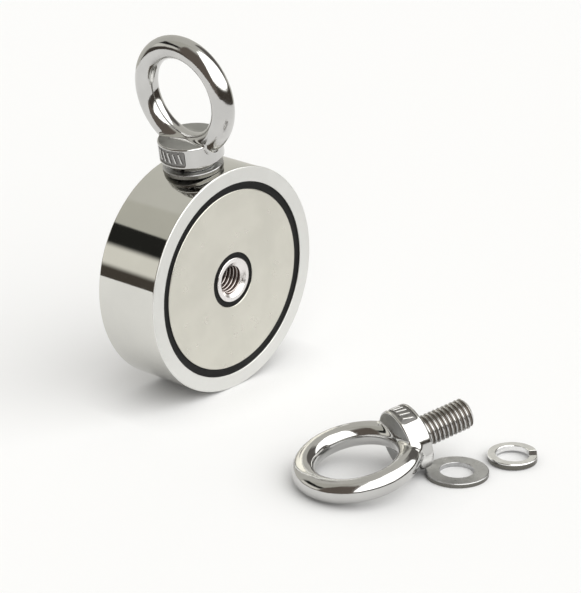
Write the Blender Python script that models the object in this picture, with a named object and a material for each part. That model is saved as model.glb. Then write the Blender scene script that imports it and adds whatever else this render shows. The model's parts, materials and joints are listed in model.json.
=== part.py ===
"""Double-sided fishing magnet, 75 mm: a steel pot with a ring magnet potted into each face, an M10
eyebolt screwed into its rim over a spring washer and a flat washer, and the spare eyebolt, flat washer
and spring washer of the set laid on the ground beside it.

Frame: metres, +Z up, ground at z = 0, origin where the magnet's rim meets the ground, under its centre.
The magnet stands on its rim with its bore along Y and its front face towards -Y.
"""

import math

import bmesh
import bpy
from mathutils import Matrix, Vector

# Gaps between pieces
FACE_GAP = 0.00012  # between two flat faces that rest on each other
FIT_GAP = 0.00015  # between two round walls that nest

# Pot: an H section turned about the bore, with a web between its two recesses
POT_RADIUS = 0.0375
POT_THICKNESS = 0.024
POT_EDGE = 0.0005
RIM_WALL = 0.005
WEB_THICKNESS = 0.0122
RECESS_RADIUS = POT_RADIUS - RIM_WALL

# Bush: a threaded sleeve through the web, flush with both faces
BUSH_RADIUS = 0.0074
BUSH_EDGE = 0.0003
BUSH_SET_BACK = 0.0002
BUSH_MOUTH_RADIUS = 0.0053

# Ring magnets, their adhesive beds and the resin poured round them
MAGNET_RADIUS = 0.030
MAGNET_BORE_RADIUS = 0.0091
MAGNET_EDGE = 0.0003
MAGNET_SET_BACK = 0.0003
BED_THICKNESS = 0.0003
RESIN_SET_BACK = 0.0008

# M10 coarse thread, cut deeper in the holes than on the bolts so that they turn freely
PITCH = 0.0015
THREAD_RADIUS = 0.0049
THREAD_ROOT_RADIUS = 0.0041
HOLE_THREAD_RADIUS = 0.0052
HOLE_ROOT_RADIUS = 0.0044
CREST_FLAT = 0.00020
ROOT_FLAT = 0.00038
HOLE_CREST_FLAT = 0.00042
HOLE_ROOT_FLAT = 0.00016
SIDE_HOLE_DEPTH = 0.0165
SIDE_DRILL_RADIUS = 0.0042
SIDE_MOUTH_RADIUS = 0.0056

# Eyebolt, from the underside of its collar: eye along +Z, thread along -Z
COLLAR_RADIUS = 0.0104
COLLAR_HEIGHT = 0.007
COLLAR_EDGE = 0.0006
EYE_CENTRE_HEIGHT = 0.021
EYE_RADIUS = 0.0162
EYE_WIRE_RADIUS = 0.0037
SHANK_LENGTH = 0.018
SHANK_NECK = 0.0015
SHANK_CHAMFER = 0.0009

# Washers
FLAT_RADIUS = 0.00975
FLAT_HOLE_RADIUS = 0.0053
FLAT_THICKNESS = 0.0015
FLAT_EDGE = 0.0002
SPRING_HOLE_RADIUS = 0.0051
SPRING_WIDTH = 0.0026
SPRING_THICKNESS = 0.0020
SPRING_GAP = math.radians(9)
SPRING_FREE_RISE = 0.0009  # how far apart its two ends stand when nothing presses it flat
SIDE_SPRING_TURN = math.radians(200)

# Where the spare pieces lie on the ground: the centre of each one's hole, and which way it points
SPARE_EYE = (-0.0290, -0.0874)
SPARE_HEADING = math.radians(-22)
SPARE_FLAT = (-0.0047, -0.1068)
SPARE_SPRING = (0.0141, -0.1137)
SPARE_SPRING_TURN = math.radians(-49)

# Facets
BODY_STEPS = 44
BOLT_STEPS = 32
THREAD_STEPS = 12
EYE_STEPS = 32
WIRE_STEPS = 12
SPRING_STEPS = 26

# The magnet rests rolled one facet about its bore, so that its eye leans towards -X
BODY_ROLL = -2 * math.pi / BODY_STEPS
REST_HEIGHT = POT_RADIUS * math.cos(math.pi / BODY_STEPS)


def clear_scene():
    for obj in list(bpy.data.objects):
        bpy.data.objects.remove(obj)


def metal(name, colour, roughness, metallic=1.0):
    """A plain Principled material."""
    made = bpy.data.materials.new(name)
    made.use_nodes = True
    shader = made.node_tree.nodes["Principled BSDF"]
    shader.inputs["Base Color"].default_value = (*colour, 1.0)
    shader.inputs["Roughness"].default_value = roughness
    shader.inputs["Metallic"].default_value = metallic
    return made


def add_object(name, mesh, finish=None, parent=None):
    obj = bpy.data.objects.new(name, mesh)
    bpy.context.scene.collection.objects.link(obj)
    if finish and not mesh.materials:
        mesh.materials.append(finish)
    obj.parent = parent
    return obj


def add_empty(name, location, rotation=(0, 0, 0)):
    empty = bpy.data.objects.new(name, None)
    bpy.context.scene.collection.objects.link(empty)
    empty.location = location
    empty.rotation_euler = rotation
    return empty


def mesh_of(bm, name):
    """The bmesh as a mesh, closed, facing out and smooth between its sharp edges."""
    bmesh.ops.remove_doubles(bm, verts=bm.verts, dist=1e-6)
    bmesh.ops.recalc_face_normals(bm, faces=bm.faces)
    mesh = bpy.data.meshes.new(name)
    bm.to_mesh(mesh)
    bm.free()
    mesh.shade_smooth()
    mesh.set_sharp_from_angle(angle=math.radians(35))
    return mesh


def turned(name, outline, steps):
    """A piece turned about Z from a closed outline of (radius, height) corners."""
    bm = bmesh.new()
    corners = [bm.verts.new((radius, 0, height)) for radius, height in outline]
    edges = [bm.edges.new(pair) for pair in zip(corners, corners[1:] + corners[:1])]
    bmesh.ops.spin(
        bm,
        geom=corners + edges,
        cent=(0, 0, 0),
        axis=(0, 0, 1),
        angle=2 * math.pi,
        steps=steps,
        use_merge=True,
    )
    return mesh_of(bm, name)


def ring_outline(inner, outer, low, high, edge=0.0):
    """A rectangular ring section, with the two corners at its high end chamfered by edge."""
    if not edge:
        return [(inner, low), (outer, low), (outer, high), (inner, high)]
    return [
        (inner, low),
        (outer, low),
        (outer, high - edge),
        (outer - edge, high),
        (inner + edge, high),
        (inner, high - edge),
    ]


def thread_rod(name, root, crest, root_flat, crest_flat, low, high):
    """A right-hand threaded rod along Z that reaches past low and high. Its ends follow the helix."""
    flank = (PITCH - root_flat - crest_flat) / 2
    section = [
        (0.0, root),
        (root_flat, root),
        (root_flat + flank, crest),
        (root_flat + flank + crest_flat, crest),
    ]
    first = low - 2 * PITCH - root_flat / 2
    turns = math.ceil((high - low) / PITCH) + 3
    columns = turns * THREAD_STEPS
    bm = bmesh.new()

    def corner(step, rise, radius):
        angle = 2 * math.pi * step / THREAD_STEPS
        height = first + rise + PITCH * step / THREAD_STEPS
        return bm.verts.new((radius * math.cos(angle), radius * math.sin(angle), height))

    grid = [[corner(step, *point) for point in section] for step in range(columns + 1)]
    last_turn = [corner(step, *section[0]) for step in range(columns + 1, columns + THREAD_STEPS + 1)]
    roots = [column[0] for column in grid] + last_turn
    for step, column in enumerate(grid):
        column.append(roots[step + THREAD_STEPS])
    for this, following in zip(grid, grid[1:]):
        for a, b, c, d in zip(this, following, following[1:], this[1:]):
            bm.faces.new((a, b, c, d))
    bottom = roots[: THREAD_STEPS + 1] + grid[0][3:0:-1]
    top = roots[columns:] + grid[-1][3:0:-1]
    for loop in (bottom, top):
        middle = bm.verts.new((0, 0, sum(corner.co.z for corner in loop) / len(loop)))
        for a, b in zip(loop, loop[1:] + loop[:1]):
            bm.faces.new((a, b, middle))
    return mesh_of(bm, name)


def combined(name, first, *steps):
    """One mesh made from first by Boolean steps of (operation, mesh, matrix)."""
    obj = add_object(name, first)
    helpers = []
    for operation, mesh, matrix in steps:
        helper = add_object(name + "_tool", mesh)
        helper.matrix_world = matrix
        helpers.append(helper)
        boolean = obj.modifiers.new(operation, "BOOLEAN")
        boolean.operation = operation
        boolean.object = helper
        boolean.solver = "EXACT"
    bpy.context.view_layer.update()
    graph = bpy.context.evaluated_depsgraph_get()
    mesh = bpy.data.meshes.new_from_object(obj.evaluated_get(graph))
    mesh.name = name
    for helper in (obj, *helpers):
        bpy.data.objects.remove(helper)
    return mesh


def along_bore():
    """Turns a piece modelled about Z so that its axis runs along the bore, +Z end to the front."""
    return Matrix.Rotation(math.radians(90), 4, "X")


def eyebolt_mesh():
    """Forged eye, collar and rolled M10 shank in one piece, with the eye in the YZ plane."""
    collar = turned(
        "collar",
        [
            (0, 0),
            (COLLAR_RADIUS - COLLAR_EDGE, 0),
            (COLLAR_RADIUS, COLLAR_EDGE),
            (COLLAR_RADIUS, COLLAR_HEIGHT - COLLAR_EDGE),
            (COLLAR_RADIUS - COLLAR_EDGE, COLLAR_HEIGHT),
            (0, COLLAR_HEIGHT),
        ],
        BOLT_STEPS,
    )
    bm = bmesh.new()
    wire = [
        bm.verts.new(
            (
                EYE_WIRE_RADIUS * math.sin(2 * math.pi * step / WIRE_STEPS),
                EYE_RADIUS + EYE_WIRE_RADIUS * math.cos(2 * math.pi * step / WIRE_STEPS),
                0,
            )
        )
        for step in range(WIRE_STEPS)
    ]
    edges = [bm.edges.new(pair) for pair in zip(wire, wire[1:] + wire[:1])]
    bmesh.ops.spin(
        bm,
        geom=wire + edges,
        cent=(0, 0, 0),
        axis=(1, 0, 0),
        angle=2 * math.pi,
        steps=EYE_STEPS,
        use_merge=True,
    )
    eye = mesh_of(bm, "eye")
    trim = turned(
        "shank_trim",
        [
            (0, -SHANK_LENGTH),
            (THREAD_RADIUS - SHANK_CHAMFER, -SHANK_LENGTH),
            (THREAD_RADIUS + SHANK_CHAMFER, -SHANK_LENGTH + 2 * SHANK_CHAMFER),
            (THREAD_RADIUS + SHANK_CHAMFER, -SHANK_NECK - 2 * SHANK_CHAMFER),
            (THREAD_ROOT_RADIUS, -SHANK_NECK),
            (THREAD_ROOT_RADIUS, COLLAR_HEIGHT / 2),
            (0, COLLAR_HEIGHT / 2),
        ],
        BOLT_STEPS,
    )
    rod = thread_rod(
        "shank_rod", THREAD_ROOT_RADIUS, THREAD_RADIUS, ROOT_FLAT, CREST_FLAT, -SHANK_LENGTH, 0
    )
    shank = combined("shank", rod, ("INTERSECT", trim, Matrix.Identity(4)))
    return combined(
        "eyebolt",
        collar,
        ("UNION", eye, Matrix.Translation((0, 0, EYE_CENTRE_HEIGHT))),
        ("UNION", shank, Matrix.Identity(4)),
    )


def side_seat_height():
    """Height above the bore axis of the fitted eyebolt's collar, over its two washers."""
    return POT_RADIUS + FLAT_THICKNESS + SPRING_THICKNESS + 3 * FACE_GAP


def pot_mesh():
    """The turned pot with its web bored for the bush and its rim drilled and tapped for the eyebolt."""
    half = POT_THICKNESS / 2
    web = WEB_THICKNESS / 2
    bore = BUSH_RADIUS + FIT_GAP
    upper = [
        (bore, web),
        (RECESS_RADIUS, web),
        (RECESS_RADIUS, half - POT_EDGE),
        (RECESS_RADIUS + POT_EDGE / 2, half),
        (POT_RADIUS - POT_EDGE, half),
        (POT_RADIUS, half - POT_EDGE),
    ]
    lower = [(radius, -height) for radius, height in reversed(upper)]
    body = turned("pot_turned", upper + lower, BODY_STEPS)
    body.transform(along_bore())
    # Half a facet of roll puts a flat facet, and not an edge, under the washer
    body.transform(Matrix.Rotation(math.pi / BODY_STEPS, 4, "Y"))

    floor = POT_RADIUS - SIDE_HOLE_DEPTH
    tap_trim = turned(
        "tap_trim",
        [
            (0, floor + PITCH),
            (HOLE_ROOT_RADIUS, floor + PITCH),
            (HOLE_THREAD_RADIUS + PITCH / 2, floor + 2 * PITCH),
            (HOLE_THREAD_RADIUS + PITCH / 2, POT_RADIUS + 2 * PITCH),
            (0, POT_RADIUS + 2 * PITCH),
        ],
        BOLT_STEPS,
    )
    drill = turned(
        "drill",
        [
            (0, floor - SIDE_DRILL_RADIUS / 2),
            (SIDE_DRILL_RADIUS, floor),
            (SIDE_DRILL_RADIUS, POT_RADIUS - SIDE_MOUTH_RADIUS + SIDE_DRILL_RADIUS - PITCH / 4),
            (SIDE_MOUTH_RADIUS + PITCH, POT_RADIUS + PITCH * 3 / 4),
            (0, POT_RADIUS + PITCH * 3 / 4),
        ],
        BOLT_STEPS,
    )
    # The bolt's helix starts at its shank's end, so the tap's is set in step with it
    shank_end = side_seat_height() - SHANK_LENGTH
    rod = thread_rod(
        "tap_rod",
        HOLE_ROOT_RADIUS,
        HOLE_THREAD_RADIUS,
        HOLE_ROOT_FLAT,
        HOLE_CREST_FLAT,
        shank_end - 2 * PITCH,
        POT_RADIUS + PITCH,
    )
    tap = combined("tap", rod, ("INTERSECT", tap_trim, Matrix.Identity(4)))
    return combined(
        "steel_pot",
        body,
        ("DIFFERENCE", drill, Matrix.Identity(4)),
        ("DIFFERENCE", tap, Matrix.Identity(4)),
    )


def bush_mesh():
    """The sleeve, tapped from face to face, with a countersunk mouth at each end."""
    half = POT_THICKNESS / 2 - BUSH_SET_BACK
    sleeve = turned(
        "sleeve",
        [
            (0, -half + BUSH_MOUTH_RADIUS),
            (BUSH_MOUTH_RADIUS, -half),
            (BUSH_RADIUS - BUSH_EDGE, -half),
            (BUSH_RADIUS, -half + BUSH_EDGE),
            (BUSH_RADIUS, half - BUSH_EDGE),
            (BUSH_RADIUS - BUSH_EDGE, half),
            (BUSH_MOUTH_RADIUS, half),
            (0, half - BUSH_MOUTH_RADIUS),
        ],
        BOLT_STEPS,
    )
    tap = thread_rod(
        "bush_tap", HOLE_ROOT_RADIUS, HOLE_THREAD_RADIUS, HOLE_ROOT_FLAT, HOLE_CREST_FLAT, -half, half
    )
    return combined("centre_bush", sleeve, ("DIFFERENCE", tap, Matrix.Identity(4)))


def spring_mesh(rise):
    """A square wire bent once round, left-handed, with rise between its two ends."""
    bm = bmesh.new()
    loops = []
    turn = 2 * math.pi - SPRING_GAP
    for step in range(SPRING_STEPS + 1):
        share = step / SPRING_STEPS
        angle = SPRING_GAP / 2 + share * turn
        base = rise * (1 - share)
        inner = SPRING_HOLE_RADIUS
        outer = SPRING_HOLE_RADIUS + SPRING_WIDTH
        loops.append(
            [
                bm.verts.new((radius * math.cos(angle), radius * math.sin(angle), height))
                for radius, height in (
                    (inner, base),
                    (outer, base),
                    (outer, base + SPRING_THICKNESS),
                    (inner, base + SPRING_THICKNESS),
                )
            ]
        )
    for this, following in zip(loops, loops[1:]):
        for i in range(4):
            j = (i + 1) % 4
            bm.faces.new((this[i], following[i], following[j], this[j]))
    bm.faces.new(loops[0])
    bm.faces.new(loops[-1])
    return mesh_of(bm, "spring_washer")


def flat_mesh():
    outline = ring_outline(FLAT_HOLE_RADIUS, FLAT_RADIUS, 0, FLAT_THICKNESS, FLAT_EDGE)
    return turned("flat_washer", outline, BOLT_STEPS)


def add_magnet_body(frame, finishes):
    """The pot, its bush, and the magnet, bed and resin in each face."""
    half = POT_THICKNESS / 2
    web = WEB_THICKNESS / 2
    pieces = {"steel_pot": (pot_mesh(), "plate", False)}
    pieces["centre_bush"] = (bush_mesh(), "bush", True)

    bed_low = web + FACE_GAP
    bed_high = bed_low + BED_THICKNESS
    magnet_low = bed_high + FACE_GAP
    magnet_high = half - MAGNET_SET_BACK
    resin_low = web + FACE_GAP
    resin_high = half - RESIN_SET_BACK
    sections = {
        "magnet": (
            ring_outline(MAGNET_BORE_RADIUS, MAGNET_RADIUS, magnet_low, magnet_high, MAGNET_EDGE),
            "magnet",
        ),
        "adhesive_bed": (
            ring_outline(MAGNET_BORE_RADIUS, MAGNET_RADIUS, bed_low, bed_high),
            "resin",
        ),
        "outer_resin_ring": (
            ring_outline(MAGNET_RADIUS + FIT_GAP, RECESS_RADIUS - FIT_GAP, resin_low, resin_high),
            "resin",
        ),
        "inner_resin_ring": (
            ring_outline(BUSH_RADIUS + FIT_GAP, MAGNET_BORE_RADIUS - FIT_GAP, resin_low, resin_high),
            "resin",
        ),
    }
    for part, (outline, finish) in sections.items():
        steps = BOLT_STEPS if part == "inner_resin_ring" else BODY_STEPS
        pieces["front_" + part] = (turned(part, outline, steps), finish, True)
        mirrored = [(radius, -height) for radius, height in outline]
        pieces["rear_" + part] = (turned(part, mirrored, steps), finish, True)

    for name, (mesh, finish, about_z) in pieces.items():
        if about_z:
            mesh.transform(along_bore())
        add_object(name, mesh, finishes[finish], frame)


def add_side_fittings(frame, finishes, eyebolt, flat, pressed_spring):
    """Flat washer, spring washer and eyebolt, stacked on the rim along the frame's Z."""
    stack = (
        ("side_flat_washer", flat, "washer", POT_RADIUS + FACE_GAP),
        ("side_spring_washer", pressed_spring, "spring", POT_RADIUS + FLAT_THICKNESS + 2 * FACE_GAP),
        ("side_eyebolt", eyebolt, "eyebolt", side_seat_height()),
    )
    for name, mesh, finish, height in stack:
        obj = add_object(name, mesh, finishes[finish], frame)
        obj.location = (0, 0, height)
        if name == "side_spring_washer":
            obj.rotation_euler = (0, 0, SIDE_SPRING_TURN)


def spare_tilt():
    """How far the lying eyebolt's axis rises towards its thread, resting on its eye and its collar."""
    span = EYE_CENTRE_HEIGHT + EYE_RADIUS - COLLAR_HEIGHT + COLLAR_EDGE
    tilt = 0.0
    for _ in range(20):
        tilt = math.asin((COLLAR_RADIUS * math.cos(tilt) - EYE_WIRE_RADIUS) / span)
    return tilt


def add_spares(finishes, eyebolt, flat, free_spring):
    tilt = spare_tilt()
    lift = EYE_WIRE_RADIUS + EYE_RADIUS * math.sin(tilt)
    # Local Z, from thread to eye, points back along the heading and down; the eye's plane stays level
    ahead = Vector((math.cos(SPARE_HEADING), math.sin(SPARE_HEADING), 0))
    down = -ahead * math.cos(tilt) - Vector((0, 0, math.sin(tilt)))
    across = Vector((-ahead.y, ahead.x, 0))
    facing = across.cross(down)
    place = Matrix((facing, across, down)).transposed().to_4x4()
    place.translation = Vector((*SPARE_EYE, lift)) - down * EYE_CENTRE_HEIGHT
    add_object("spare_eyebolt", eyebolt, finishes["eyebolt"]).matrix_world = place

    washer = add_object("spare_flat_washer", flat, finishes["washer"])
    washer.location = (*SPARE_FLAT, 0)
    spring = add_object("spare_spring_washer", free_spring, finishes["spring"])
    spring.location = (*SPARE_SPRING, 0)
    spring.rotation_euler = (0, 0, SPARE_SPRING_TURN)


def main():
    clear_scene()
    finishes = {
        "plate": metal("nickel_plated_steel", (0.74, 0.73, 0.70), 0.12),
        "magnet": metal("nickel_plated_magnet", (0.66, 0.65, 0.61), 0.30),
        "bush": metal("machined_bush", (0.82, 0.81, 0.79), 0.20),
        "resin": metal("black_resin", (0.02, 0.02, 0.02), 0.45, 0.0),
        "eyebolt": metal("polished_stainless", (0.72, 0.71, 0.69), 0.12),
        "washer": metal("stamped_stainless", (0.60, 0.60, 0.60), 0.35),
        "spring": metal("bright_spring_steel", (0.70, 0.70, 0.69), 0.20),
    }
    frame = add_empty("magnet_frame", (0, 0, REST_HEIGHT), (0, BODY_ROLL, 0))
    eyebolt = eyebolt_mesh()
    flat = flat_mesh()
    add_magnet_body(frame, finishes)
    add_side_fittings(frame, finishes, eyebolt, flat, spring_mesh(0.0))
    add_spares(finishes, eyebolt, flat, spring_mesh(SPRING_FREE_RISE))


main()
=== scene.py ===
"""Looks for the double-sided fishing magnet: smooth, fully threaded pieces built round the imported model,
procedural metal and resin finishes, and a white studio.

Frame: metres, +Z up, ground at z = 0, the magnet's bore along Y with its front face towards -Y.
Each piece is modelled in millimetres about its own +Z, and one matrix sets it in place.
"""

import json
import math

import bmesh
import bpy
import numpy as np
from mathutils import Matrix, Quaternion, Vector


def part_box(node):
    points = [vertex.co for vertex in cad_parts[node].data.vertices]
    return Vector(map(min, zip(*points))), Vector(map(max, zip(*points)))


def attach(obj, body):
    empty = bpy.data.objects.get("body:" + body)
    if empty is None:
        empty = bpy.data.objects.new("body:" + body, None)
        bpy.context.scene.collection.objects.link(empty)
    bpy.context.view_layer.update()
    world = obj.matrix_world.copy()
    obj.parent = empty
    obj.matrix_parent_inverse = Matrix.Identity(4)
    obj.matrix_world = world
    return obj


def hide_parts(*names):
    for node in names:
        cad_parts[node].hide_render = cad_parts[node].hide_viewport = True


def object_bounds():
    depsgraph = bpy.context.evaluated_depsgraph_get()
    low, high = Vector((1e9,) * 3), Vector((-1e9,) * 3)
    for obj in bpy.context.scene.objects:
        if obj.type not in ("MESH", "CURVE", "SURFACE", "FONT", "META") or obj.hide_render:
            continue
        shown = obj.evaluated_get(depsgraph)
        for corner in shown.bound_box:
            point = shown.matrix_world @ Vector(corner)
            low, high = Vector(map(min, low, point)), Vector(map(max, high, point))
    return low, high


MM = 0.001
TURN = 2 * math.pi
SHARP_EDGE = 0.1
TIP_RADIUS = 0.3  # of the small flat that closes the end of a bolt or of a hole

# Pot
RIM_WALL = 5.0
WEB_THICKNESS = 12.2
POT_EDGE = 0.5
WEB_FILLET = 0.3
SIDE_HOLE_DEPTH = 16.5
SIDE_MOUTH_RADIUS = 5.6
POT_STEPS = 256
PATCH_STEPS = 24  # columns, and rows, of the square patch that the hole in the rim sits in
MOUTH_LOOPS = 9  # from that square to the hole, closer together towards it

# Magnets, resin and bush
MAGNET_EDGE = 0.3
RESIN_FIT = 0.135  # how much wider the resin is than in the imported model, to lie against its walls
RESIN_CREEP = 0.3  # how far the resin climbs the walls either side of it
RESIN_RIPPLES = ((3, 0.05), (7, 0.04), (13, 0.02))  # (ripples in one turn, height)
BUSH_MOUTH_RADIUS = 6.0
BUSH_MOUTH_DEPTH = 1.3
BUSH_MOUTH_EDGE = 0.12
BUSH_EDGE = 0.3
RESIN_ROWS = 13
DISC_STEPS = 192

# M10 coarse thread
PITCH = 1.5
THREAD_ROOT = 4.1
THREAD_CREST = 4.9
THREAD_END = 0.9  # how far the bolt's end is bevelled
THREAD_END_EDGE = 0.15
HOLE_ROOT = 5.2
HOLE_CREST = 4.4
HOLE_DRILL = 4.2
THREAD_STEPS = 96
THREAD_LAYERS = 18  # per pitch
THREAD_SHARPNESS = 1.9  # higher for squarer crests and roots

# Eyebolt, from the underside of its collar
COLLAR_RADIUS = 10.4
COLLAR_HEIGHT = 7.0
COLLAR_EDGE = 0.6
EYE_CENTRE_HEIGHT = 21.0
EYE_RADIUS = 16.2
EYE_WIRE_RADIUS = 3.7
FILLET = 1.2
SHANK_LENGTH = 18.0
SHANK_NECK = 1.5
NECK_FILLET = 0.4
EYEBOLT_CELL = 0.27
PANEL_HALF_WIDTH = 5.9
PANEL_LOW = 1.0
PANEL_HIGH = 6.1
PANEL_DEPTH = 0.4
PANEL_CORNER = 0.8
PANEL_EDGE = 0.22
BARS_EACH_SIDE = 2
BAR_SPACING = 2.1
BAR_WIDTH = 0.75
BAR_LEAN = 0.28

# Washers
FLAT_EDGE = 0.12
FLAT_ROLL = 0.35
FLAT_HOLE_ROLL = 0.2
SPRING_HOLE_RADIUS = 5.1
SPRING_WIDTH = 2.6
SPRING_THICKNESS = 2.0
SPRING_EDGE = 0.35
SPRING_TIP = 0.2
SPRING_GAP = math.radians(9)
SPRING_SLANT = math.radians(9)
SPRING_FREE_RISE = 0.9
SPRING_STEPS = 160
SIDE_SPRING_TURN = math.radians(200)

# The spare eyebolt and spring washer on the ground
SPARE_EYE = (-29.0, -87.4)
SPARE_HEADING = math.radians(-22)
SPARE_SPRING_TURN = math.radians(-49)

# Finishes
CLOUD_LEVELS = (0.3, 0.7)  # of the noise, at the darkest and the lightest places
SMEAR_LEVELS = (0.25, 0.75)  # of the noise, at the smoothest and the roughest
MARK_DRIFT = 0.8  # how little the marks of a lathe change on their way round, in millimetres
RESIN_INDEX = 1.23  # of refraction, low so that the matt resin stays black; metal ignores it

# Camera and studio
CAMERA_PLACE = (-0.56483, -0.52823, 0.34164)
CAMERA_AIM = (0.02531, -0.01397, 0.02444)
CAMERA_LENS = 155.47
CAMERA_ROLL = math.radians(-0.17)
WHITE = (0.97, 0.97, 0.97)
FLOOR_RADIUS = 4.0
FLOOR_COLOUR = (0.81, 0.81, 0.815)
# Part of the floor's light is a glow, with a contact shadow painted into it by ambient occlusion out to
# CONTACT_REACH
FLOOR_GLOW = 0.35  # the share of the floor's light that only things within reach can shade
CONTACT_REACH = 0.02
FADE = (0.3, 1.2)  # distances over which the floor turns into the backdrop
TABLE_RADIUS = 0.42  # beyond this the floor is only a backdrop, which metal doesn't reflect

# Takes rows of points about Z to points about Y, with +Z going to -Y
ABOUT_Y = np.array([(1, 0, 0), (0, 0, 1), (0, -1, 0)], float)


# ---------------------------------------------------------------------------------------------- meshes


def arc(before, after, corner, fillet, steps):
    """Points and outward normals round one corner, between the directions before and after it."""
    bend = math.atan2(before[0] * after[1] - before[1] * after[0], before @ after)
    side = math.copysign(1, bend)
    left = np.array((-before[1], before[0]))
    centre = corner - before * fillet * math.tan(abs(bend) / 2) + side * fillet * left
    rows = []
    for step in range(steps + 1):
        cos, sin = math.cos(bend * step / steps), math.sin(bend * step / steps)
        normal = np.array((-left[0] * cos + left[1] * sin, -left[0] * sin - left[1] * cos))
        rows.append((*(centre + side * fillet * normal), *normal))
    return rows


def rounded(corners, closed=True, steps=5):
    """An outline's rows of (radius, height, normal's radius, normal's height). Each corner is (radius,
    height, fillet), and the outline runs with its material on the left."""
    places = np.array([corner[:2] for corner in corners], float)
    ahead = np.roll(places, -1, axis=0) - places
    ahead /= np.linalg.norm(ahead, axis=1)[:, None]
    rows = []
    for i, corner in enumerate(corners):
        if closed or 0 < i < len(corners) - 1:
            rows += arc(ahead[i - 1], ahead[i], places[i], corner[2], steps)
        else:
            only = ahead[0] if i == 0 else ahead[-2]
            rows.append((*places[i], only[1], -only[0]))
    return np.array(rows)


def turned(outline, steps):
    """Loops of points and normals from an outline turned about Z."""
    angle = TURN * np.arange(steps) / steps
    spin = np.stack([np.cos(angle), np.sin(angle), np.ones(steps)], axis=1)
    points = outline[:, None, [0, 0, 1]] * spin
    normals = outline[:, None, [2, 2, 3]] * spin
    return points, normals


def thread_wave(phase):
    """The level of a thread, from -1 at its root to 1 at its crest, and how fast it changes with phase."""
    rising = phase < 0.5
    ramp = np.tanh(THREAD_SHARPNESS * np.where(rising, 4 * phase - 1, 3 - 4 * phase))
    most = math.tanh(THREAD_SHARPNESS)
    change = np.where(rising, 4, -4) * THREAD_SHARPNESS * (1 - ramp**2) / most
    return ramp / most, change


def threaded(limit, root, crest, sign, start=0.0):
    """Loops whose radius is that of a right-hand thread, held back to the limit outline. sign is 1 for a
    bolt, whose limit is the most its radius may be, and -1 for a hole, whose limit is the least. A bolt
    and a hole fit when they have the same start, the height that the thread is counted from."""
    angle = TURN * np.arange(THREAD_STEPS)[None, :] / THREAD_STEPS
    radius, height, radial, axial = (limit[:, i : i + 1] for i in range(4))
    level, change = thread_wave(((height - start) / PITCH - angle / TURN) % 1.0)
    swing = sign * (crest - root) / 2
    helix = (crest + root) / 2 + swing * level
    plain = sign * (helix - radius) > 0
    found = np.where(plain, radius, helix)
    out = np.where(plain, radial, sign)
    aside = np.where(plain, 0.0, sign * swing * change / TURN / found)
    along = np.where(plain, axial, -sign * swing * change / PITCH)
    cos, sin = np.cos(angle), np.sin(angle)
    points = np.stack([found * cos, found * sin, height + 0 * angle], axis=-1)
    normals = np.stack([out * cos - aside * sin, out * sin + aside * cos, along], axis=-1)
    return points, normals / np.linalg.norm(normals, axis=-1, keepdims=True)


def layered(outline):
    """The outline with rows added between those further apart in height than one thread layer."""
    rows = [outline[0]]
    for row in outline[1:]:
        before = rows[-1]
        parts = max(1, math.ceil(abs(row[1] - before[1]) / PITCH * THREAD_LAYERS))
        rows += [before + (row - before) * part / parts for part in range(1, parts + 1)]
    return np.array(rows)


def grid_faces(rows, columns, wrap=False):
    """Quads between loops of a grid of points. wrap joins the last loop to the first."""
    row = np.arange(rows if wrap else rows - 1)[:, None]
    column = np.arange(columns)[None, :]
    above = (row + 1) % rows
    beside = (column + 1) % columns
    here, there = row * columns, above * columns
    return np.stack([here + column, here + beside, there + beside, there + column], axis=-1).reshape(-1, 4)


def mesh_of(name, points, faces, normals):
    """A mesh from millimetre points, shaded by the normals given."""
    mesh = bpy.data.meshes.new(name)
    mesh.from_pydata((points * MM).tolist(), [], [list(map(int, face)) for face in faces])
    mesh.shade_smooth()
    mesh.normals_split_custom_set_from_vertices(normals.tolist())
    return mesh


def loop_mesh(name, points, normals, wrap=True):
    """A closed mesh from loops. Without wrap, its two end loops are filled."""
    rows, columns = points.shape[:2]
    faces = grid_faces(rows, columns, wrap).tolist()
    if not wrap:
        faces.append(range(columns - 1, -1, -1))
        faces.append(range((rows - 1) * columns, rows * columns))
    return mesh_of(name, points.reshape(-1, 3), faces, normals.reshape(-1, 3))


def turned_mesh(name, corners, steps):
    return loop_mesh(name, *turned(rounded(corners), steps))


def net_of(field, low, high, cell):
    """Points and quads of the surface where field is zero: one point in each cell that it crosses."""
    counts = [int(round((b - a) / cell)) + 1 for a, b in zip(low, high)]
    axes = [a + cell * np.arange(count) for a, count in zip(low, counts)]
    values = field(*np.meshgrid(*axes, indexing="ij"))
    inside = values < 0
    cells = [count - 1 for count in counts]
    total = np.zeros((math.prod(cells), 3))
    hits = np.zeros(math.prod(cells))
    quads = []
    for axis in range(3):
        others = [i for i in range(3) if i != axis]
        here = [slice(1, -1)] * 3
        here[axis] = slice(None, -1)
        there = list(here)
        there[axis] = slice(1, None)
        start = np.argwhere(inside[tuple(here)] != inside[tuple(there)])
        start[:, others] += 1
        step = np.eye(3, dtype=int)[axis]
        before = values[tuple(start.T)]
        after = values[tuple((start + step).T)]
        spot = np.array(low) + cell * (start + np.outer(before / (before - after), step))
        corners = []
        for back in ((1, 1), (0, 1), (0, 0), (1, 0)):
            box = start.copy()
            box[:, others] -= back
            flat = np.ravel_multi_index(tuple(box.T), cells)
            np.add.at(total, flat, spot)
            np.add.at(hits, flat, 1)
            corners.append(flat)
        corners = np.stack(corners, axis=1)
        backward = (before < 0) == (axis == 1)
        corners[backward] = corners[backward, ::-1]
        quads.append(corners)
    used = np.flatnonzero(hits)
    number = np.zeros(len(hits), int)
    number[used] = np.arange(len(used))
    return total[used] / hits[used, None], number[np.concatenate(quads)]


def slope_of(field, points, reach=1e-3):
    """The field's gradient at each point."""
    slopes = []
    for step in np.eye(3) * reach:
        ahead, behind = field(*(points + step).T), field(*(points - step).T)
        slopes.append((ahead - behind) / (2 * reach))
    return np.stack(slopes, axis=1)


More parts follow.
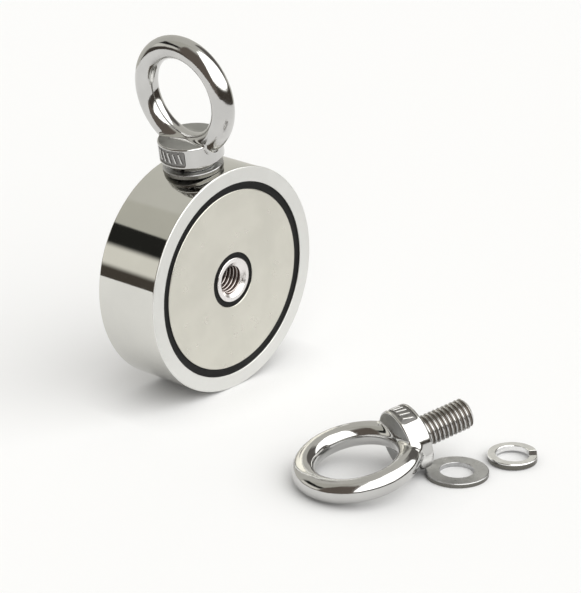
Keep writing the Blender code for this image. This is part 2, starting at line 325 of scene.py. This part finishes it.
def drawn_onto(field, points):
    """Moves points along the field's gradient until they are where it is zero."""
    for _ in range(5):
        slope = slope_of(field, points)
        points = points - slope * (field(*points.T) / (slope**2).sum(1))[:, None]
    return points


def box_distance(*sides, rounding=0.0):
    """Distance outside a box centred on zero, from each (coordinate, half side), with its edges rounded."""
    past = [np.abs(place) - half + rounding for place, half in sides]
    outside = np.sqrt(sum(np.maximum(p, 0) ** 2 for p in past))
    return outside + np.minimum(np.maximum.reduce(past), 0) - rounding


def melted(a, b, width):
    """The lesser of two distances, with a fillet of about that width where they meet."""
    return np.minimum(a, b) - np.maximum(width - np.abs(a - b), 0) ** 2 / (4 * width)


# ---------------------------------------------------------------------------------------------- pieces


def pot_mesh(bore, radius, half, seat):
    """The pot, turned about Z, with a tapped hole through its rim. It is worked out about Y, with the hole
    upwards, and seat is how high the collar of the eyebolt in that hole sits."""
    web = WEB_THICKNESS / 2
    recess = radius - RIM_WALL
    outline = rounded([
        (radius, half, POT_EDGE),
        (recess, half, POT_EDGE / 2),
        (recess, web, WEB_FILLET),
        (bore, web, SHARP_EDGE),
        (bore, -web, SHARP_EDGE),
        (recess, -web, WEB_FILLET),
        (recess, -half, POT_EDGE / 2),
        (radius, -half, POT_EDGE),
    ])
    loops, loop_normals = (part @ ABOUT_Y for part in turned(outline, POT_STEPS))
    parts = [(loops, loop_normals, grid_faces(len(loops), POT_STEPS))]

    # The outer wall between its two rounded edges, less a square patch over the hole
    angle = TURN * np.arange(POT_STEPS) / POT_STEPS
    rows = np.linspace(POT_EDGE - half, half - POT_EDGE, PATCH_STEPS + 1)
    round_wall = np.stack([np.cos(angle), 0 * angle, np.sin(angle)], axis=1)
    wall = np.array([radius * round_wall + (0, row, 0) for row in rows])
    wall_normals = np.broadcast_to(round_wall, wall.shape)
    faces = grid_faces(len(rows), POT_STEPS)[:, ::-1]
    top, side = POT_STEPS // 4, PATCH_STEPS // 2
    column = faces.max(1) % POT_STEPS
    over_hole = (top - side < column) & (column <= top + side) & (faces.min(1) % POT_STEPS >= top - side)
    parts.append((wall, wall_normals, faces[~over_hole]))

    # Loops from the square's edge to the mouth, then down the thread
    edge = [(side, k) for k in range(side)] + [(-k, side) for k in range(-side, side)]
    edge += [(-side, -k) for k in range(-side, side)] + [(k, -side) for k in range(-side, side)]
    edge += [(side, k) for k in range(-side, 0)]
    square = np.array([wall[row + side, top - column] for column, row in edge])
    circle, _ = turned(np.array([(SIDE_MOUTH_RADIUS, 0, 0, 0)]), len(edge))
    loops = []
    for share in np.linspace(0, 1, MOUTH_LOOPS) ** 0.7:
        loop = square * (1 - share) + circle[0] * share
        loop[:, 2] = np.sqrt(radius**2 - loop[:, 0] ** 2)
        loops.append(loop)
    loops = np.array(loops)
    mouth = radius - 2 * POT_EDGE
    floor = radius - SIDE_HOLE_DEPTH
    limit = rounded([
        (SIDE_MOUTH_RADIUS, mouth, 0),
        (HOLE_DRILL, mouth - SIDE_MOUTH_RADIUS + HOLE_DRILL, SHARP_EDGE),
        (HOLE_DRILL, floor, SHARP_EDGE),
        (TIP_RADIUS, floor - HOLE_DRILL / 2, 0),
    ], closed=False)
    bore_points, bore_normals = threaded(layered(limit), HOLE_ROOT, HOLE_CREST, -1, start=seat)
    loop_normals = np.concatenate([loops * (1, 0, 1) / radius, bore_normals])
    loops = np.concatenate([loops, bore_points])
    parts.append((loops, loop_normals, grid_faces(len(loops), len(edge))))
    points, faces, normals = welded(parts)
    return mesh_of("pot", points @ ABOUT_Y.T, faces, normals @ ABOUT_Y.T)


def welded(parts):
    """Points, faces and normals of several parts as one, joined wherever their points meet. The last part
    ends in a thread's loop, which is filled."""
    points = np.concatenate([part[0].reshape(-1, 3) for part in parts])
    normals = np.concatenate([part[1].reshape(-1, 3) for part in parts])
    starts = np.cumsum([0] + [part[0].size // 3 for part in parts])
    faces = np.concatenate([part[2] + start for part, start in zip(parts, starts)])
    _, first, number = np.unique(np.round(points, 4), axis=0, return_index=True, return_inverse=True)
    faces = number.reshape(-1)[faces].tolist()
    last_loop = number.reshape(-1)[-THREAD_STEPS:].tolist()
    return points[first], faces + [last_loop], normals[first]


def bush_mesh(radius, half):
    """The sleeve, tapped from face to face, with a countersunk mouth at each end."""
    wall = [(radius, -half, BUSH_EDGE), (radius, half, BUSH_EDGE)]
    bore = [
        (BUSH_MOUTH_RADIUS, half, BUSH_MOUTH_EDGE),
        (HOLE_DRILL, half - BUSH_MOUTH_DEPTH, SHARP_EDGE),
        (HOLE_DRILL, BUSH_MOUTH_DEPTH - half, SHARP_EDGE),
        (BUSH_MOUTH_RADIUS, -half, BUSH_MOUTH_EDGE),
    ]
    outline = rounded(wall + bore)
    split = len(outline) * len(wall) // len(wall + bore)
    sleeve = turned(outline[:split], THREAD_STEPS)
    thread = threaded(layered(outline[split:]), HOLE_ROOT, HOLE_CREST, -1)
    return loop_mesh("bush", *(np.concatenate(pair) for pair in zip(sleeve, thread)))


def magnet_mesh(inner, outer, low, high):
    back = [(inner, low, SHARP_EDGE), (outer, low, SHARP_EDGE)]
    face = [(outer, high, MAGNET_EDGE), (inner, high, MAGNET_EDGE)]
    return turned_mesh("ring_magnet", back + face, DISC_STEPS)


def resin_mesh(inner, outer, low, high):
    """A poured ring. Its top sags between the walls that it climbs, and ripples a little all round."""
    inner, outer = inner - RESIN_FIT, outer + RESIN_FIT
    share = np.linspace(1, 0, RESIN_ROWS)
    rise = RESIN_CREEP * (2 * share - 1) ** 4
    lean = 8 * RESIN_CREEP * (2 * share - 1) ** 3 / (outer - inner)
    length = np.hypot(lean, 1)
    top = np.stack([inner + (outer - inner) * share, high + rise, -lean / length, 1 / length], axis=1)
    base = np.array([(inner, low, 0, -1), (outer, low, 0, -1)])
    points, normals = turned(np.concatenate([base, top]), DISC_STEPS)
    angle = TURN * np.arange(DISC_STEPS) / DISC_STEPS
    ripple = sum(size * np.sin(count * angle + 0.7 * count) for count, size in RESIN_RIPPLES)
    points[len(base) :, :, 2] += ripple
    return loop_mesh("resin_ring", points, normals)


def flat_washer_mesh(inner, outer, thickness):
    """A stamped washer: its upper edges are rolled over by the punch."""
    under = [(inner, 0, FLAT_EDGE), (outer, 0, FLAT_EDGE)]
    top = [(outer, thickness, FLAT_ROLL), (inner, thickness, FLAT_HOLE_ROLL)]
    return turned_mesh("flat_washer", under + top, DISC_STEPS)


def spring_washer_mesh(rise):
    """A squared wire bent once round, left-handed, cut aslant, with rise between its two ends."""
    outer = SPRING_HOLE_RADIUS + SPRING_WIDTH
    middle = SPRING_HOLE_RADIUS + SPRING_WIDTH / 2
    section = rounded([
        (SPRING_HOLE_RADIUS, 0, SPRING_EDGE),
        (outer, 0, SPRING_EDGE),
        (outer, SPRING_THICKNESS, SPRING_EDGE),
        (SPRING_HOLE_RADIUS, SPRING_THICKNESS, SPRING_EDGE),
    ])
    radius, height, radial, axial = section.T
    shear = SPRING_SLANT * (height / SPRING_THICKNESS - 0.5)
    lean = SPRING_SLANT * middle / SPRING_THICKNESS
    tip = np.linspace(0, math.pi / 2, 5)
    turn = TURN - SPRING_GAP
    # Each row is (angle from the low end, how far the section shrinks, how far its normals face the end)
    back = SPRING_TIP / middle
    low_end = [(back * (1 - math.sin(t)), SPRING_TIP * (1 - math.cos(t)), math.sin(t)) for t in tip[::-1]]
    body = [(angle, 0.0, 0.0) for angle in np.linspace(back, turn - back, SPRING_STEPS)[1:-1]]
    high_end = [(turn - angle, shrink, -facing) for angle, shrink, facing in reversed(low_end)]
    points, normals = [], []
    for travel, shrink, facing in low_end + body + high_end:
        angle = TURN - SPRING_GAP / 2 - travel + shear
        cos, sin = np.cos(angle), np.sin(angle)
        reach = radius - radial * shrink
        lift = height - axial * shrink + rise * travel / turn
        points.append(np.stack([reach * cos, reach * sin, lift], axis=1))
        side = np.stack([radial * cos, radial * sin, axial], axis=1) * math.sqrt(1 - facing**2)
        end = np.stack([-sin, cos, -lean + 0 * sin], axis=1) * facing / math.hypot(1, lean)
        normals.append(side + end)
    return loop_mesh("spring_washer", np.array(points), np.array(normals), wrap=False)


def eyebolt_field(x, y, z):
    """Distance outside the eye and collar: a ring melted into a disc, with a sunk panel on either side
    where raised bars stand in for a grade mark."""
    eye = np.hypot(np.hypot(y, z - EYE_CENTRE_HEIGHT) - EYE_RADIUS, x) - EYE_WIRE_RADIUS
    spread = np.hypot(x, y)
    middle = COLLAR_HEIGHT / 2
    collar = box_distance((spread, COLLAR_RADIUS), (z - middle, middle), rounding=COLLAR_EDGE)
    head = melted(eye, collar, FILLET)

    arc_place = np.arctan2(y, np.abs(x)) * COLLAR_RADIUS
    rise = z - (PANEL_LOW + PANEL_HIGH) / 2
    tall = (PANEL_HIGH - PANEL_LOW) / 2
    panel = box_distance((arc_place, PANEL_HALF_WIDTH), (rise, tall), rounding=PANEL_CORNER)
    place = arc_place - BAR_LEAN * rise
    nearest = BAR_SPACING * np.clip(np.round(place / BAR_SPACING), -BARS_EACH_SIDE, BARS_EACH_SIDE)
    bar_sides = (place - nearest, BAR_WIDTH / 2), (rise, tall - PANEL_CORNER)
    bar = box_distance(*bar_sides, rounding=BAR_WIDTH / 3)
    sunk = np.maximum.reduce([panel, COLLAR_RADIUS - PANEL_DEPTH - spread, -bar])
    return -melted(-head, sunk, PANEL_EDGE)


def eyebolt_mesh():
    """Forged eye and collar, and a rolled shank under them, as one skin."""
    reach = EYE_RADIUS + EYE_WIRE_RADIUS
    margin = 2.6 * EYEBOLT_CELL  # room for the net's outer cells
    low = (-COLLAR_RADIUS - margin, -reach - margin, -margin)
    high = (COLLAR_RADIUS + margin, reach + margin, EYE_CENTRE_HEIGHT + reach + margin)
    points, faces = net_of(eyebolt_field, low, high, EYEBOLT_CELL)
    points = drawn_onto(eyebolt_field, points)
    inside = np.hypot(points[:, 0], points[:, 1]) < COLLAR_RADIUS - 2 * COLLAR_EDGE
    under = (points[:, 2] < 0.01) & inside
    faces = faces[~under[faces].all(axis=1)]
    used, number = np.unique(faces, return_inverse=True)
    points, faces = points[used], number.reshape(-1, 4)
    normals = slope_of(eyebolt_field, points)

    over = THREAD_CREST + 0.3  # clear of the crests, so that only the two bevels hold the thread back
    end = THREAD_CREST - THREAD_END
    rod = rounded([
        (TIP_RADIUS, -SHANK_LENGTH, 0),
        (end, -SHANK_LENGTH, THREAD_END_EDGE),
        (over, -SHANK_LENGTH + over - end, SHARP_EDGE),
        (over, -SHANK_NECK - over + THREAD_ROOT, SHARP_EDGE),
        (THREAD_ROOT, -SHANK_NECK, 0),
    ], closed=False)
    neck = rounded([
        (THREAD_ROOT, -SHANK_NECK, 0),
        (THREAD_ROOT, 0, NECK_FILLET),
        (THREAD_ROOT + 2 * NECK_FILLET, 0, 0),
    ], closed=False)
    shank = threaded(layered(rod), THREAD_ROOT, THREAD_CREST, 1)
    collar_end = turned(neck[1:], THREAD_STEPS)
    shank_points, shank_normals = (
        np.concatenate(pair).reshape(-1, 3) for pair in zip(shank, collar_end)
    )
    count = len(points)
    loops = len(shank_points) // THREAD_STEPS
    shank_faces = (grid_faces(loops, THREAD_STEPS) + count).tolist()
    tip = list(range(count + THREAD_STEPS - 1, count - 1, -1))
    points = np.concatenate([points, shank_points])
    normals = np.concatenate([normals, shank_normals])

    bm = bmesh.new()
    corners = [bm.verts.new(point) for point in points.tolist()]
    for face in faces.tolist() + shank_faces + [tip]:
        bm.faces.new([corners[i] for i in face])
    gap = [edge for edge in bm.edges if edge.is_boundary]
    filled = bmesh.ops.triangle_fill(bm, use_beauty=True, use_dissolve=False, edges=gap, normal=(0, 0, -1))
    for face in filled["geom"]:
        if isinstance(face, bmesh.types.BMFace) and face.normal.z > 0:
            face.normal_flip()
    bm.verts.index_update()
    faces = [[corner.index for corner in face.verts] for face in bm.faces]
    bm.free()
    return mesh_of("eyebolt", points, faces, normals)


# ---------------------------------------------------------------------------------------------- finishes


def node(tree, kind, inputs=(), **settings):
    """Adds a shader node and returns its outputs. inputs maps sockets to values or to other outputs."""
    made = tree.nodes.new("ShaderNode" + kind)
    for key, value in settings.items():
        setattr(made, key, value)
    for key, value in dict(inputs).items():
        if isinstance(value, bpy.types.NodeSocket):
            tree.links.new(value, made.inputs[key])
        else:
            made.inputs[key].default_value = value
    return made.outputs


def maths(tree, operation, *values):
    return node(tree, "Math", dict(enumerate(values)), operation=operation)[0]


def vector_maths(tree, operation, *values):
    return node(tree, "VectorMath", dict(enumerate(values)), operation=operation)


def eased(tree, value, low, high, start=0.0, end=1.0):
    """Goes smoothly from start to end as value goes from low to high."""
    inputs = {"Value": value, "From Min": low, "From Max": high, "To Min": start, "To Max": end}
    return node(tree, "MapRange", inputs, interpolation_type="SMOOTHSTEP")[0]


def mixed(tree, share, a, b):
    """One colour turning into another as share goes from 0 to 1."""
    a, b = ((*colour, 1.0) if isinstance(colour, tuple) else colour for colour in (a, b))
    return node(tree, "Mix", {0: share, 6: a, 7: b}, data_type="RGBA")[2]


def noise(tree, coords, size, detail=3.0):
    """Noise whose features are about size millimetres across."""
    return node(tree, "TexNoise", {"Vector": coords, "Scale": 1 / size, "Detail": detail})[0]


def own_coords(tree):
    """The piece's own coordinates in millimetres, plain, and drawn out along the marks of a lathe."""
    plain = vector_maths(tree, "SCALE", node(tree, "TexCoord")["Object"])
    plain[0].node.inputs["Scale"].default_value = 1 / MM
    plain = plain[0]
    flat = vector_maths(tree, "MULTIPLY", plain, (1, 1, 0))[0]
    height = node(tree, "SeparateXYZ", {0: plain})[2]
    profile = maths(tree, "ADD", vector_maths(tree, "LENGTH", flat)[1], height)
    along = node(tree, "CombineXYZ", {2: profile})[0]
    around = vector_maths(tree, "NORMALIZE", flat)[0]
    drawn_out = vector_maths(tree, "MULTIPLY_ADD", around, (MARK_DRIFT, MARK_DRIFT, 0), along)[0]
    return {"plain": plain, "turned": drawn_out}


def zone_share(tree, coords, zone):
    """1 where the surface is within all of the zone's limits, else 0. They are on its radius, its height
    and its depth either way in millimetres, and on how squarely it faces round the piece's axis."""
    x, y, z = node(tree, "SeparateXYZ", {0: coords})
    flat = vector_maths(tree, "MULTIPLY", coords, (1, 1, 0))[0]
    onward = vector_maths(tree, "CROSS_PRODUCT", (0, 0, 1), coords)[0]
    onward = vector_maths(tree, "NORMALIZE", onward)[0]
    facing = vector_maths(tree, "DOT_PRODUCT", onward, node(tree, "TexCoord")["Normal"])[1]
    values = {
        "radius": vector_maths(tree, "LENGTH", flat)[1],
        "height": z,
        "depth": maths(tree, "ABSOLUTE", z),
        "facing": maths(tree, "ABSOLUTE", facing),
    }
    share = 1.0
    for kind, low, high in zone:
        above = maths(tree, "GREATER_THAN", values[kind], low)
        below = maths(tree, "LESS_THAN", values[kind], high)
        share = maths(tree, "MULTIPLY", share, maths(tree, "MULTIPLY", above, below))
    return share


def finish(name, colour, roughness, cloud, marks, spread=0.15, metallic=1.0, zones=()):
    """A Principled material. cloud is (size, share) of its slow changes in brightness, spread is the share
    that its roughness changes by, marks lists the (coordinates, size, height) of its surface marks, and
    zones lists the (limits, colour, roughness) of any parts finished another way. All in millimetres."""
    made = bpy.data.materials.new(name)
    made.use_nodes = True
    tree = made.node_tree
    shader = tree.nodes["Principled BSDF"]
    coords = own_coords(tree)
    size, share = cloud
    darker, lighter = (tuple(part * level for part in colour) for level in (1 - share, 1 + share))
    cloudy = eased(tree, noise(tree, coords["plain"], size), *CLOUD_LEVELS)
    tint = mixed(tree, cloudy, darker, lighter)
    smears = noise(tree, coords["plain"], size / 3)
    even = roughness
    for limits, zone_colour, zone_roughness in zones:
        inside = zone_share(tree, coords["plain"], limits)
        tint = mixed(tree, inside, tint, zone_colour)
        even = eased(tree, inside, 0.0, 1.0, even, zone_roughness)
    smeared = eased(tree, smears, *SMEAR_LEVELS, 1 - spread, 1 + spread)
    rough = maths(tree, "MULTIPLY", even, smeared)
    height = 0.0
    for kind, size, depth in marks:
        height = maths(tree, "MULTIPLY_ADD", noise(tree, coords[kind], size), depth, height)
    bump = node(tree, "Bump", {"Height": height, "Distance": MM})[0]
    tree.links.new(tint, shader.inputs["Base Color"])
    tree.links.new(rough, shader.inputs["Roughness"])
    tree.links.new(bump, shader.inputs["Normal"])
    shader.inputs["Metallic"].default_value = metallic
    shader.inputs["IOR"].default_value = RESIN_INDEX
    return made


FINISHES = {
    # Bright plate: a mirror round the rim, finely turned on the two lands
    "nickel_plate": dict(
        colour=(0.67, 0.665, 0.63),
        roughness=0.05,
        cloud=(14, 0.02),
        marks=[("turned", 0.35, 0.0006), ("plain", 5.0, 0.004)],
        zones=[([("depth", 11.7, 12.2)], (0.74, 0.74, 0.72), 0.5)],
    ),
    "magnet_plating": dict(
        colour=(0.65, 0.635, 0.57),
        roughness=0.3,
        cloud=(13, 0.035),
        marks=[("plain", 9.0, 0.012), ("plain", 2.5, 0.001)],
        spread=0.1,
    ),
    # Bright turned ends, and a bore painted darker as shade inside it, with painted shade darker still in
    # the roots of its thread
    "machined_steel": dict(
        colour=(0.80, 0.775, 0.765),
        roughness=0.22,
        cloud=(4, 0.03),
        marks=[("turned", 0.22, 0.004)],
        zones=[
            # painted shade inside the bore
            ([("radius", 0.0, 5.25), ("depth", 0.0, 10.6)], (0.45, 0.41, 0.39), 0.2),
            # painted shade in the roots of the bore's thread
            ([("radius", 4.65, 5.25), ("depth", 0.0, 10.6)], (0.10, 0.07, 0.06), 0.35),
        ],
    ),
    "resin": dict(
        colour=(0.008, 0.008, 0.008),
        roughness=0.45,
        cloud=(9, 0.2),
        marks=[("plain", 1.6, 0.03), ("plain", 0.3, 0.004)],
        metallic=0.0,
    ),
    # Polished by hand, so that its reflections waver. The collar's top is left as turned, the sunk
    # panel as forged, and the roots of the thread are painted darker as shade.
    "polished_stainless": dict(
        colour=(0.57, 0.565, 0.555),
        roughness=0.1,
        cloud=(9, 0.04),
        marks=[("plain", 5.0, 0.07), ("plain", 0.6, 0.0007)],
        spread=0.3,
        zones=[
            ([("radius", 0.0, 9.9), ("height", 6.93, 7.07)], (0.36, 0.36, 0.35), 0.45),
            ([("radius", 9.5, 10.2), ("height", 0.7, 6.4)], (0.22, 0.215, 0.21), 0.4),
            # painted shade in the roots of the shank's thread
            ([("radius", 0.0, 4.6), ("height", -17.4, -0.3)], (0.24, 0.22, 0.20), 0.35),
        ],
    ),
    # Both kinds of washer have walls painted dark as shade, and the spring's cut ends are rough from the
    # shear and painted darker still as shade
    "washer_steel": dict(
        colour=(0.50, 0.50, 0.50),
        roughness=0.34,
        cloud=(3, 0.12),
        marks=[("plain", 0.5, 0.004), ("turned", 0.3, 0.003)],
        spread=0.25,
        # painted shade on the flat washer's outer wall
        zones=[([("radius", 9.5, 12.0), ("height", 0.1, 1.2)], (0.17, 0.165, 0.15), 0.3)],
    ),
    "spring_steel": dict(
        colour=(0.86, 0.86, 0.855),
        roughness=0.18,
        cloud=(3, 0.05),
        marks=[("turned", 0.25, 0.002), ("plain", 1.5, 0.008)],
        spread=0.25,
        zones=[
            # painted shade on the spring washer's outer wall
            ([("radius", 7.5, 9.0), ("height", 0.3, 1.75)], (0.15, 0.145, 0.13), 0.25),
            # the sheared cut ends: rough, and painted dark as shade
            ([("facing", 0.7, 1.1)], (0.07, 0.065, 0.06), 0.5),
        ],
    ),
}


# ---------------------------------------------------------------------------------------------- studio

# What the metal reflects, later ones over earlier: (from, to) bearing and elevation in degrees, with the
# width of the soft edge of each, and the light's colour. Bearing 0 is towards -Y and 90 towards +X.
SURROUND = (0.66, 0.65, 0.60)
LIGHTS = {
    "horizon": ((-162, 80), (-90, 8), 6.0, 3.0, (0.07, 0.06, 0.05)),
    "dim_room": ((-124, -60), (-90, 62), 6.0, 10.0, (0.16, 0.135, 0.115)),
    "dark_panel": ((-162, -123), (8, 33), 3.0, 1.0, (0.02, 0.02, 0.018)),
    "ceiling_bounce": ((-162, -123), (33, 100), 3.0, 0.6, (0.58, 0.57, 0.51)),
    "low_bounce": ((-162, -123), (3, 18), 3.0, 2.5, (0.88, 0.86, 0.79)),
    "right_wall": ((66, 112), (8, 55), 3.0, 6.0, (0.15, 0.14, 0.13)),
    "key": ((-62, 66), (10, 82), 2.0, 2.0, (2.7, 2.7, 2.65)),
}


def between(tree, value, limits, soft):
    """1 where value is between the limits, falling to 0 across soft edges centred on them."""
    low, high = limits
    begun = eased(tree, value, low - soft, low + soft)
    not_done = eased(tree, value, high - soft, high + soft, 1.0, 0.0)
    return maths(tree, "MULTIPLY", begun, not_done)


def light_studio():
    """A world of soft panels that the object reflects, which the camera sees as plain white."""
    world = bpy.data.worlds.new("studio")
    bpy.context.scene.world = world
    world.use_nodes = True
    tree = world.node_tree
    x, y, z = node(tree, "SeparateXYZ", {0: node(tree, "TexCoord")["Generated"]})
    bearing = maths(tree, "DEGREES", maths(tree, "ARCTAN2", x, maths(tree, "MULTIPLY", y, -1.0)))
    elevation = maths(tree, "DEGREES", maths(tree, "ARCSINE", z))
    colour = SURROUND
    for bearings, elevations, side_soft, end_soft, light in LIGHTS.values():
        across = between(tree, bearing, bearings, side_soft)
        upward = between(tree, elevation, elevations, end_soft)
        colour = mixed(tree, maths(tree, "MULTIPLY", across, upward), colour, light)
    seen = node(tree, "Background", {"Color": (*WHITE, 1.0)})[0]
    reflected = node(tree, "Background", {"Color": colour})[0]
    camera_ray = node(tree, "LightPath")["Is Camera Ray"]
    shown = node(tree, "MixShader", {0: camera_ray, 1: reflected, 2: seen})[0]
    tree.links.new(shown, tree.nodes["World Output"].inputs["Surface"])


def floor_material():
    """White card. For the camera it fades into the backdrop, and in reflections it ends like a table."""
    made = bpy.data.materials.new("white_card")
    made.use_nodes = True
    tree = made.node_tree
    tree.nodes.remove(tree.nodes["Principled BSDF"])
    place = node(tree, "NewGeometry")["Position"]
    distance = vector_maths(tree, "LENGTH", vector_maths(tree, "MULTIPLY", place, (1, 1, 0))[0])[1]
    backdrop = node(tree, "Emission", {"Color": (*WHITE, 1.0)})[0]
    lit = node(tree, "BsdfDiffuse", {"Color": (*FLOOR_COLOUR, 1.0)})[0]
    # ambient occlusion paints a contact shadow into the floor's glow
    reach = {"Color": (*WHITE, 1.0), "Distance": CONTACT_REACH}
    painted_contact_shade = node(tree, "AmbientOcclusion", reach, samples=6)[0]
    glow_with_painted_shade = node(tree, "Emission", {"Color": painted_contact_shade})[0]
    card = node(tree, "MixShader", {0: FLOOR_GLOW, 1: lit, 2: glow_with_painted_shade})[0]
    seen = node(tree, "MixShader", {0: eased(tree, distance, *FADE), 1: card, 2: backdrop})[0]
    past_table = maths(tree, "GREATER_THAN", distance, TABLE_RADIUS)
    reflected = node(tree, "MixShader", {0: past_table, 1: card, 2: node(tree, "BsdfTransparent")[0]})[0]
    camera_ray = node(tree, "LightPath")["Is Camera Ray"]
    shown = node(tree, "MixShader", {0: camera_ray, 1: reflected, 2: seen})[0]
    tree.links.new(shown, tree.nodes["Material Output"].inputs["Surface"])
    return made


def add_floor(height):
    bm = bmesh.new()
    bmesh.ops.create_circle(bm, cap_ends=True, segments=64, radius=FLOOR_RADIUS)
    mesh = bpy.data.meshes.new("floor")
    bm.to_mesh(mesh)
    bm.free()
    mesh.materials.append(floor_material())
    floor = bpy.data.objects.new("floor", mesh)
    bpy.context.scene.collection.objects.link(floor)
    floor.location.z = height


def add_camera():
    camera = bpy.data.objects.new("camera", bpy.data.cameras.new("camera"))
    bpy.context.scene.collection.objects.link(camera)
    camera.location = CAMERA_PLACE
    sight = Vector(CAMERA_AIM) - Vector(CAMERA_PLACE)
    camera.rotation_mode = "QUATERNION"
    camera.rotation_quaternion = sight.to_track_quat("-Z", "Y") @ Quaternion((0, 0, 1), CAMERA_ROLL)
    camera.data.lens = CAMERA_LENS
    camera.data.clip_start = 0.01
    bpy.context.scene.camera = camera
    bpy.context.scene.view_settings.view_transform = "Standard"


# ---------------------------------------------------------------------------------------------- assembly


def measured(name, place):
    """A CAD node's least and greatest radius about place's Z, and its lowest and highest point along it."""
    into = place.inverted()
    corners = np.array([into @ corner.co for corner in frame["nodes"][name].data.vertices]) / MM
    radius = np.hypot(corners[:, 0], corners[:, 1])
    return radius.min(), radius.max(), corners[:, 2].min(), corners[:, 2].max()


def raised(place, height):
    return place @ Matrix.Translation((0, 0, height * MM))


def on_ground(cad_node):
    """Under the middle of a CAD node, at its lowest point."""
    low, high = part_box(cad_node)
    return Matrix.Translation(((low.x + high.x) / 2, (low.y + high.y) / 2, low.z))


def add_piece(name, mesh, place, body, cad_node, slot):
    """Shows a mesh in place of a CAD node. Pieces may share a mesh, which gets its material once."""
    if not mesh.materials:
        mesh.materials.append(metals[slot])
    piece = bpy.data.objects.new(name, mesh)
    bpy.context.scene.collection.objects.link(piece)
    piece.matrix_world = place
    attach(piece, body)
    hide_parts(cad_node)


def add_magnet(bore, seat):
    """The pot and bush, and the magnet and resin in each face."""
    inner, outer, _, high = measured("steel_pot", bore)
    add_piece("pot", pot_mesh(inner, outer, high, seat), bore, "magnet", "steel_pot", "nickel_plate")
    _, outer, _, high = measured("centre_bush", bore)
    add_piece("bush", bush_mesh(outer, high), bore, "magnet", "centre_bush", "machined_steel")
    rings = (
        ("magnet", "ring_magnet", magnet_mesh, "magnet_plating"),
        ("outer_resin_ring", "outer_potting", resin_mesh, "resin"),
        ("inner_resin_ring", "inner_potting", resin_mesh, "resin"),
    )
    turned_round = bore @ Matrix.Rotation(math.pi, 4, "X")
    for cad_node, name, build, slot in rings:
        mesh = build(*measured("front_" + cad_node, bore))
        for face, place in (("front", bore), ("rear", turned_round)):
            add_piece(f"{face}_{name}", mesh, place, "magnet", f"{face}_{cad_node}", slot)
    for face in ("front", "rear"):
        for slot in frame["nodes"][face + "_adhesive_bed"].material_slots:
            slot.material = metals["resin"]


def add_rim_fittings(upright, seat, eyebolt, flat, pressed_spring):
    """The eyebolt in the rim and the two washers under it."""
    body = "rim_washers"
    place = raised(upright, measured("side_flat_washer", upright)[2])
    add_piece("rim_flat_washer", flat, place, body, "side_flat_washer", "washer_steel")
    place = raised(upright, measured("side_spring_washer", upright)[2])
    place = place @ Matrix.Rotation(SIDE_SPRING_TURN, 4, "Z")
    add_piece("rim_spring_washer", pressed_spring, place, body, "side_spring_washer", "spring_steel")
    place = raised(upright, seat)
    add_piece("rim_eyebolt", eyebolt, place, "rim_eyebolt", "side_eyebolt", "polished_stainless")


def spare_eyebolt_place():
    """It rests on the far side of its eye and on its collar's edge."""
    span = EYE_CENTRE_HEIGHT + EYE_RADIUS - COLLAR_HEIGHT + COLLAR_EDGE
    tilt = 0.0
    for _ in range(20):  # each round brings the tilt closer to where both touch the ground
        tilt = math.asin((COLLAR_RADIUS * math.cos(tilt) - EYE_WIRE_RADIUS) / span)
    ahead = Vector((math.cos(SPARE_HEADING), math.sin(SPARE_HEADING), 0))
    down = -ahead * math.cos(tilt) - Vector((0, 0, math.sin(tilt)))
    across = Vector((-ahead.y, ahead.x, 0))
    place = Matrix((across.cross(down), across, down)).transposed().to_4x4()
    lift = EYE_WIRE_RADIUS + EYE_RADIUS * math.sin(tilt)
    place.translation = (Vector((*SPARE_EYE, lift)) - down * EYE_CENTRE_HEIGHT) * MM
    return place


def add_spares(eyebolt, flat, free_spring):
    """The loose set. Each of its pieces has the name of the body that it rides."""
    spring_place = on_ground("spare_spring_washer") @ Matrix.Rotation(SPARE_SPRING_TURN, 4, "Z")
    spares = (
        ("eyebolt", eyebolt, spare_eyebolt_place(), "polished_stainless"),
        ("flat_washer", flat, on_ground("spare_flat_washer"), "washer_steel"),
        ("spring_washer", free_spring, spring_place, "spring_steel"),
    )
    for name, mesh, place, slot in spares:
        add_piece("loose_" + name, mesh, place, "loose_" + name, "spare_" + name, slot)


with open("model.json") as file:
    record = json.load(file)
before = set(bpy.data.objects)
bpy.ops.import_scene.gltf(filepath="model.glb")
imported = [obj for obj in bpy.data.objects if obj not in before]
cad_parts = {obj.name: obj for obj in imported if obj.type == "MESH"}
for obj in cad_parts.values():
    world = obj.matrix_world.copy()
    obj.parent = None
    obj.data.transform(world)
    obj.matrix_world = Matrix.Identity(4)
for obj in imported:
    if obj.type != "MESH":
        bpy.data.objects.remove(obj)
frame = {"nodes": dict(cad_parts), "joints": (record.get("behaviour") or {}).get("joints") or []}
cad_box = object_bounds()
metals = {name: finish(name, **settings) for name, settings in FINISHES.items()}

pot_low, pot_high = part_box("steel_pot")
axes = {joint["name"]: Vector(joint["axis"]) for joint in frame["joints"]}
eyebolt_axis = axes["side_eyebolt_turn"]
bore_axis = Vector((0, 1, 0))
upright = Matrix((bore_axis.cross(eyebolt_axis), bore_axis, eyebolt_axis)).transposed().to_4x4()
upright.translation = (pot_low + pot_high) / 2
seat = measured("side_eyebolt", upright)[2] + SHANK_LENGTH
add_magnet(upright @ Matrix.Rotation(math.pi / 2, 4, "X"), seat)

eyebolt = eyebolt_mesh()
inner, outer, low, high = measured("side_flat_washer", upright)
flat_washer = flat_washer_mesh(inner, outer, high - low)
add_rim_fittings(upright, seat, eyebolt, flat_washer, spring_washer_mesh(0.0))
add_spares(eyebolt, flat_washer, spring_washer_mesh(SPRING_FREE_RISE))

light_studio()
add_camera()
add_floor(cad_box[0].z)
